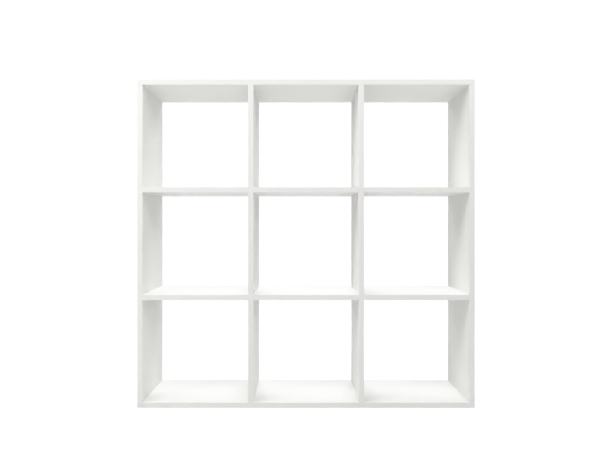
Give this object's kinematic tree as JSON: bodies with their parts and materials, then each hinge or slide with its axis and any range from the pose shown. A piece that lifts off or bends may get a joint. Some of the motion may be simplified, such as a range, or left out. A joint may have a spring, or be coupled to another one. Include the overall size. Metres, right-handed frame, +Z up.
{
  "type": "cube storage unit",
  "caption": "Open-backed cube shelving unit: a square grid of equal open cubes between thin white boards, standing on the floor to hold bins or books.",
  "frame": {"origin": "on the floor, in the middle of the footprint", "axes": "+X right along the width, +Y to the back along the depth, +Z up; the front faces -Y"},
  "size_m": [1, 0.3, 0.973],
  "materials": {
    "melamine_board": "satin",
    "edge_band": "satin",
    "cover_cap": "satin",
    "zinc_cam": "satin",
    "plated_steel": "gloss",
    "beech_dowel": "matte"
  },
  "bodies": {
    "root": {"top_board": "melamine_board", "top_board_edge_bands": "edge_band", "bottom_board": "melamine_board", "bottom_board_edge_bands": "edge_band", "left_side_board": "melamine_board", "left_side_board_edge_bands": "edge_band", "right_side_board": "melamine_board", "right_side_board_edge_bands": "edge_band", "left_divider": "melamine_board", "left_divider_edge_bands": "edge_band", "right_divider": "melamine_board", "right_divider_edge_bands": "edge_band", "lower_left_shelf": "melamine_board", "lower_left_shelf_edge_bands": "edge_band", "lower_middle_shelf": "melamine_board", "lower_middle_shelf_edge_bands": "edge_band", "lower_right_shelf": "melamine_board", "lower_right_shelf_edge_bands": "edge_band", "upper_left_shelf": "melamine_board", "upper_left_shelf_edge_bands": "edge_band", "upper_middle_shelf": "melamine_board", "upper_middle_shelf_edge_bands": "edge_band", "upper_right_shelf": "melamine_board", "upper_right_shelf_edge_bands": "edge_band", "top_board_end_bands": "edge_band", "bottom_board_end_bands": "edge_band", "bottom_board_cam_locks": "zinc_cam", "bottom_board_cam_covers": "cover_cap", "bottom_board_cam_bolts": "plated_steel", "bottom_board_dowels": "beech_dowel", "top_board_cam_locks": "zinc_cam", "top_board_cam_covers": "cover_cap", "top_board_cam_bolts": "plated_steel", "top_board_dowels": "beech_dowel", "lower_shelf_cam_locks": "zinc_cam", "lower_shelf_cam_covers": "cover_cap", "lower_shelf_cam_bolts": "plated_steel", "lower_shelf_dowels": "beech_dowel", "upper_shelf_cam_locks": "zinc_cam", "upper_shelf_cam_covers": "cover_cap", "upper_shelf_cam_bolts": "plated_steel", "upper_shelf_dowels": "beech_dowel", "lower_shelf_double_bolts": "plated_steel", "lower_shelf_through_dowels": "beech_dowel", "upper_shelf_double_bolts": "plated_steel", "upper_shelf_through_dowels": "beech_dowel"}
  },
  "joints": []
}
